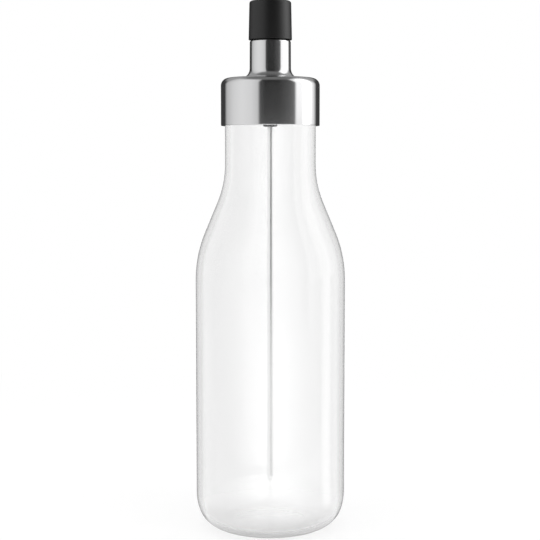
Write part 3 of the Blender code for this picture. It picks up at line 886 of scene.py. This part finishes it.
# %% [markdown]
# ## The stopper core
# The core is the moulding that everything in the head is fastened to: a flange that lies on the
# glass rim, grooves for three rings, a cup that collects the oil, and a boss for the skewer's hub.
# Its floor has a ring of bores. A ring of equal holes is what instancing is for, so this tree
# turns the outline, puts one cutter on each point of a circle, and takes them all away at once.

# %% Build the tree that bores a ring of holes
CUTTER_SIDES = 40

bored = new_tree("bored_floor", {
    "Facets": "Int", "Ring radius": "Float", "Holes": "Int", "Hole radius": "Float",
    "Vent radius": "Float", "Cut foot": "Float", "Cut height": "Float"})
circle = bored.add("GeometryNodeMeshCircle", None, {
    "Vertices": bored.out("Holes"), "Radius": bored.out("Ring radius")})
middle = bored.out("Cut foot") + bored.out("Cut height") * 0.5
lift = bored.add("ShaderNodeCombineXYZ", None, {"Z": middle})
circle = bored.add("GeometryNodeSetPosition", None, {"Geometry": circle, "Offset": lift})
cutter = bored.add("GeometryNodeMeshCylinder", None, {
    "Vertices": CUTTER_SIDES, "Radius": 1.0, "Depth": bored.out("Cut height")})
is_vent = 1 - bored.add("GeometryNodeInputIndex").at_least(1)
width = bored.out("Hole radius")
width = width + (bored.out("Vent radius") - width) * is_vent
scale = bored.add("ShaderNodeCombineXYZ", None, {"X": width, "Y": width, "Z": 1.0})
cutters = bored.add("GeometryNodeInstanceOnPoints", None, {
    "Points": circle, "Instance": cutter, "Scale": scale})
cutters = bored.add("GeometryNodeRealizeInstances", None, {"Geometry": cutters})
holed = bored.add("GeometryNodeMeshBoolean", {"operation": "DIFFERENCE", "solver": "EXACT"},
                  {"Mesh 1": turned(bored), "Mesh 2": cutters})
finish_tree(bored, smooth(bored, holed))

# %% Draw, turn and bore the core
FLANGE_TOP = 209.6 * MM
FLANGE_FOOT = 208.4 * MM
SPIGOT_FOOT = 190.8 * MM
SPIGOT_RADIUS = 17.2 * MM
SPIGOT_BEVEL = 0.5 * MM
GROOVE_RADIUS = 16.5 * MM
CUP_RADIUS = 13.5 * MM
LEDGE = 207.0 * MM
LEDGE_RADIUS = 15.2 * MM
CUP_FLOOR = 192.8 * MM
RING_HEIGHTS = (193.792 * MM, 198.192 * MM, 202.592 * MM)
GROOVE_HALF = 1.1 * MM
BOSS_TOP = 199.7 * MM
BOSS_RADIUS = 4.4 * MM
SOCKET_TOP = 198.2 * MM
SOCKET_RADIUS = 2.9 * MM
PORT_CIRCLE = 8.95 * MM
GAP = 0.3 * MM

flange_bend = COLLAR_BEND - SHEET - GAP
flange_centre = COLLAR_RADIUS - COLLAR_BEND
flange_turn = math.pi / 2 - math.asin((FLANGE_FOOT - (COVER_TOP - COLLAR_BEND)) / flange_bend)
core_corners = [
    (0.0, BOSS_TOP, 0.0),
    (BOSS_RADIUS, BOSS_TOP, 0.3 * MM),
    (BOSS_RADIUS, CUP_FLOOR, 0.3 * MM),
    (CUP_RADIUS, CUP_FLOOR, 0.6 * MM),
    (CUP_RADIUS, LEDGE, 0.15 * MM),
    (LEDGE_RADIUS, LEDGE, 0.1 * MM),
    (LEDGE_RADIUS, FLANGE_TOP, 0.2 * MM),
    (flange_centre + reach(flange_bend, flange_turn), FLANGE_TOP, flange_bend),
    (flange_centre + flange_bend * math.sin(flange_turn), FLANGE_FOOT, 0.0),
    (SPIGOT_RADIUS, FLANGE_FOOT, 0.2 * MM),
]
for level in reversed(RING_HEIGHTS):
    core_corners += [
        (SPIGOT_RADIUS, level + GROOVE_HALF, 0.1 * MM),
        (GROOVE_RADIUS, level + GROOVE_HALF, 0.1 * MM),
        (GROOVE_RADIUS, level - GROOVE_HALF, 0.1 * MM),
        (SPIGOT_RADIUS, level - GROOVE_HALF, 0.1 * MM),
    ]
core_corners += [
    (SPIGOT_RADIUS, SPIGOT_FOOT + SPIGOT_BEVEL, 0.15 * MM),
    (SPIGOT_RADIUS - SPIGOT_BEVEL, SPIGOT_FOOT, 0.15 * MM),
    (SOCKET_RADIUS, SPIGOT_FOOT, 0.15 * MM),
    (SOCKET_RADIUS, SOCKET_TOP, 0.1 * MM),
    (0.0, SOCKET_TOP, 0.0),
]
bores = {
    "Facets": 144, "Ring radius": PORT_CIRCLE, "Holes": 6, "Hole radius": 1.7 * MM,
    "Vent radius": 1.6 * MM, "Cut foot": 189.8 * MM, "Cut height": 4.0 * MM}
core = make("head_core", bored, core_corners, bores, INNER_BLACK)
fit(core, "head", "black_plastic", "stopper_core")

# %% [markdown]
# ## The seals
# Three equal rings grip the bore of the glass, one above another. One outline and a line of three
# points make them: Instance on Points puts a turned ring on each point. The gasket under the flange
# and the seal under the spout are flat washers, one of each, so the plain lathe turns them.

# %% Build the tree that stacks rings, and turn the seals
RING_BORE = 16.8 * MM
RING_SHOULDER = 17.7 * MM
RING_GRIP = 19.0 * MM
RING_HALF = 0.8 * MM
GRIP_HALF = 0.4 * MM

stack = new_tree("ring_stack", {
    "Facets": "Int", "Rings": "Int", "First height": "Float", "Spacing": "Float"})
first = stack.add("ShaderNodeCombineXYZ", None, {"Z": stack.out("First height")})
apart = stack.add("ShaderNodeCombineXYZ", None, {"Z": stack.out("Spacing")})
heights = stack.add("GeometryNodeMeshLine", None, {
    "Count": stack.out("Rings"), "Start Location": first, "Offset": apart})
stacked = stack.add("GeometryNodeInstanceOnPoints", None, {
    "Points": heights, "Instance": turned(stack)})
finish_tree(stack, stacked)

upper_half = [
    (RING_BORE, 0.0, 0.0),
    (RING_BORE, RING_HALF, 0.15 * MM),
    (RING_SHOULDER, RING_HALF, 0.2 * MM),
    (RING_GRIP, GRIP_HALF, 0.25 * MM),
]
lower_half = [(radius, -height, fillet) for radius, height, fillet in reversed(upper_half)]
grip_rings = make("grip_rings", stack, upper_half + lower_half, {
    "Facets": 144, "Rings": len(RING_HEIGHTS), "First height": RING_HEIGHTS[0],
    "Spacing": RING_HEIGHTS[1] - RING_HEIGHTS[0]}, SOFT_GREY)
fit(grip_rings, "head", "silicone", "seal_ring_lower", "seal_ring_middle", "seal_ring_upper")

# %% Turn the two washers


def washer(name, inner, outer, foot, top):
    """A flat ring with softened edges, as a closed outline from the middle of its bore."""
    middle = (foot + top) / 2
    soft = (top - foot) / 4
    corners = [
        (inner, middle, 0.0), (inner, top, soft), (outer, top, soft),
        (outer, foot, soft), (inner, foot, soft), (inner, middle, 0.0)]
    return make(name, lathe, corners, {"Facets": 144}, SOFT_GREY)


rim_washer = washer(
    "rim_washer", inner=17.5 * MM, outer=21.1 * MM, foot=207.1 * MM, top=208.1 * MM)
fit(rim_washer, "head", "silicone", "rim_gasket")
spout_washer = washer(
    "spout_washer", inner=13.8 * MM, outer=14.9 * MM, foot=207.3 * MM, top=208.2 * MM)
fit(spout_washer, "head", "silicone", "spout_seal")

# %% [markdown]
# ## The spout
# The pouring lip curls outwards and ends in a thin edge, so that the last drop breaks off instead
# of running down the steel. Under it the stem fills the steel neck.

# %% Draw and turn the spout
SPOUT_TOP = 241.5 * MM
SPOUT_BASE = 208.5 * MM
STEM_RADIUS = 8.0 * MM
WAIST_RADIUS = 6.8 * MM
SPOUT_BORE = 5.8 * MM
SPOUT_BASE_RADIUS = 14.9 * MM
STEM_MIDDLE = 219.0 * MM
WAIST_FOOT = 230.0 * MM
STEM_TOP = 229.2 * MM
STEM_BEND = 1.0 * MM
BORE_BEVEL = 1.0 * MM
CURL_SHARE = 0.93
LIP_TURN = math.radians(50.0)
curl = (STEM_RADIUS - WAIST_RADIUS) / (1 - math.cos(LIP_TURN))
curl_inside = curl + WAIST_RADIUS - SPOUT_BORE
curl_height = SPOUT_TOP - curl_inside * math.sin(LIP_TURN)
lip_radius = WAIST_RADIUS + curl - curl_inside * math.cos(LIP_TURN)

spout_corners = [
    (STEM_RADIUS, STEM_MIDDLE, 0.0),
    (STEM_RADIUS, FLANGE_TOP, STEM_BEND),
    (SPOUT_BASE_RADIUS, FLANGE_TOP, 0.2 * MM),
    (SPOUT_BASE_RADIUS, SPOUT_BASE, 0.15 * MM),
    (SPOUT_BORE + BORE_BEVEL, SPOUT_BASE, 0.15 * MM),
    (SPOUT_BORE, SPOUT_BASE + BORE_BEVEL, 0.3 * MM),
    (SPOUT_BORE, curl_height + reach(curl_inside, LIP_TURN), curl_inside),
    (lip_radius, SPOUT_TOP, 0.12 * MM),
    (STEM_RADIUS, curl_height + curl * math.sin(LIP_TURN), 0.12 * MM),
    (WAIST_RADIUS, curl_height + reach(curl, LIP_TURN), curl * CURL_SHARE),
    (WAIST_RADIUS, WAIST_FOOT, 0.4 * MM),
    (STEM_RADIUS, STEM_TOP, 0.3 * MM),
    (STEM_RADIUS, STEM_MIDDLE, 0.0),
]
spout = make("pour_lip", lathe, spout_corners, {"Facets": 128}, INNER_BLACK)
fit(spout, "head", "black_plastic", "pour_spout")

# %% [markdown]
# ## The vent tube
# While oil runs out, air has to come in, through a thin tube beside the flow. It is bent over a
# former, so its drawing is a centre line with a bend radius at each corner: the same kind of
# drawing as an outline. The tree sweeps a circle along it, sweeps a thinner one for the bore, and
# takes the second from the first.

# %% Build the tree that bends a tube
TUBE_SIDES = 32
OVERSHOOT = 1.0 * MM

bent = new_tree("bent_tube", {"Tube radius": "Float", "Bore radius": "Float"})
centre_line = drawn_line(bent)
section, hollow = [bent.add("GeometryNodeCurvePrimitiveCircle", {"mode": "RADIUS"}, {
    "Resolution": TUBE_SIDES, "Radius": bent.out(size)}) for size in ("Tube radius", "Bore radius")]

# The bore's line runs a little past both ends, so that the cut leaves no skin there.
index = bent.add("GeometryNodeInputIndex")
points = bent.add("GeometryNodeAttributeDomainSize", {"component": "CURVE"}, {
    "Geometry": centre_line})
past_end = index.at_least(points - 1) - (1 - index.at_least(1))
offset = bent.add("ShaderNodeCombineXYZ", None, {"Z": past_end * OVERSHOOT})
longer = bent.add("GeometryNodeSetPosition", None, {"Geometry": centre_line, "Offset": offset})
solid = bent.add("GeometryNodeCurveToMesh", None, {
    "Curve": centre_line, "Profile Curve": section, "Fill Caps": True})
bore = bent.add("GeometryNodeCurveToMesh", None, {
    "Curve": longer, "Profile Curve": hollow, "Fill Caps": True})
tube = bent.add("GeometryNodeMeshBoolean", {"operation": "DIFFERENCE", "solver": "EXACT"}, {
    "Mesh 1": solid, "Mesh 2": bore})
finish_tree(bent, smooth(bent, tube))

# %% Bend the vent tube
TUBE_RADIUS = 1.3 * MM
TUBE_BORE = 0.8 * MM
TUBE_BEND = 6.5 * MM
TUBE_OFFSET = 4.2 * MM

vent_line = [
    (PORT_CIRCLE, 191.0 * MM, 0.0),
    (PORT_CIRCLE, 201.17 * MM, TUBE_BEND),
    (TUBE_OFFSET, 207.03 * MM, TUBE_BEND),
    (TUBE_OFFSET, 236.5 * MM, 0.0),
]
bend = {"Tube radius": TUBE_RADIUS, "Bore radius": TUBE_BORE}
vent = make("vent_pipe", bent, vent_line, bend, BRIGHT)
fit(vent, "head", "bright_steel", "vent_tube")

# %% [markdown]
# ## The hub and the skewer
# The hub is a button in the same black as the inner mouldings, with a stud that goes up into the core's
# boss, bored from below.
# The skewer is a plain ground rod: a shallow groove low down keeps herbs from sliding, and the
# end is pointed to push through them. The point is blunt by a fraction of a millimetre. With one
# row of faces from the shoulder of the cone to its tip, smooth shading would turn the whole row
# towards the axis and paint the point black.

# %% Draw and turn the hub
HUB_SEAT = 190.5 * MM
HUB_FOOT = 187.9 * MM
HUB_RADIUS = 3.5 * MM
HUB_BORE = 1.7 * MM
STUD_RADIUS = 2.6 * MM
STUD_TOP = 197.9 * MM
STUD_BEVEL = 0.4 * MM
HUB_BORE_TOP = 197.0 * MM

hub_corners = [
    (0.0, STUD_TOP, 0.0),
    (STUD_RADIUS - STUD_BEVEL, STUD_TOP, 0.1 * MM),
    (STUD_RADIUS, STUD_TOP - STUD_BEVEL, 0.1 * MM),
    (STUD_RADIUS, HUB_SEAT, 0.1 * MM),
    (HUB_RADIUS, HUB_SEAT, 0.15 * MM),
    (HUB_RADIUS, HUB_FOOT, 1.1 * MM),
    (HUB_BORE, HUB_FOOT, 0.15 * MM),
    (HUB_BORE, HUB_BORE_TOP, 0.1 * MM),
    (0.0, HUB_BORE_TOP, 0.0),
]
hub = make("hub_button", lathe, hub_corners, {"Facets": 72}, INNER_BLACK)
fit(hub, "head", "black_plastic", "skewer_hub")

# %% Draw and turn the skewer
ROD_TOP = 196.7 * MM
ROD_BEVEL = 0.3 * MM
ROD_RADIUS = 1.4 * MM
SPEAR_RADIUS = 1.52 * MM
WAISTED = 1.15 * MM
ROD_GROOVE_TOP = 47.3 * MM
ROD_GROOVE_MIDDLE = 45.9 * MM
ROD_GROOVE_FOOT = 44.5 * MM
ROD_GROOVE_CURVE = 4.0 * MM
CONE_TOP = 23.5 * MM
BLUNT_RADIUS = 0.15 * MM
BLUNT_TOP = 19.7 * MM
POINT = 19.5 * MM

rod_corners = [
    (0.0, ROD_TOP, 0.0),
    (ROD_RADIUS - ROD_BEVEL, ROD_TOP, 0.1 * MM),
    (ROD_RADIUS, ROD_TOP - ROD_BEVEL, 0.1 * MM),
    (ROD_RADIUS, ROD_GROOVE_TOP, 0.8 * MM),
    (WAISTED, ROD_GROOVE_MIDDLE, ROD_GROOVE_CURVE),
    (SPEAR_RADIUS, ROD_GROOVE_FOOT, 0.8 * MM),
    (SPEAR_RADIUS, CONE_TOP, 1.0 * MM),
    (BLUNT_RADIUS, BLUNT_TOP, 0.1 * MM),
    (0.0, POINT, 0.0),
]
rod = make("herb_skewer", lathe, rod_corners, {"Facets": 48}, BRIGHT)
fit(rod, "skewer", "bright_steel", "skewer")

# %% [markdown]
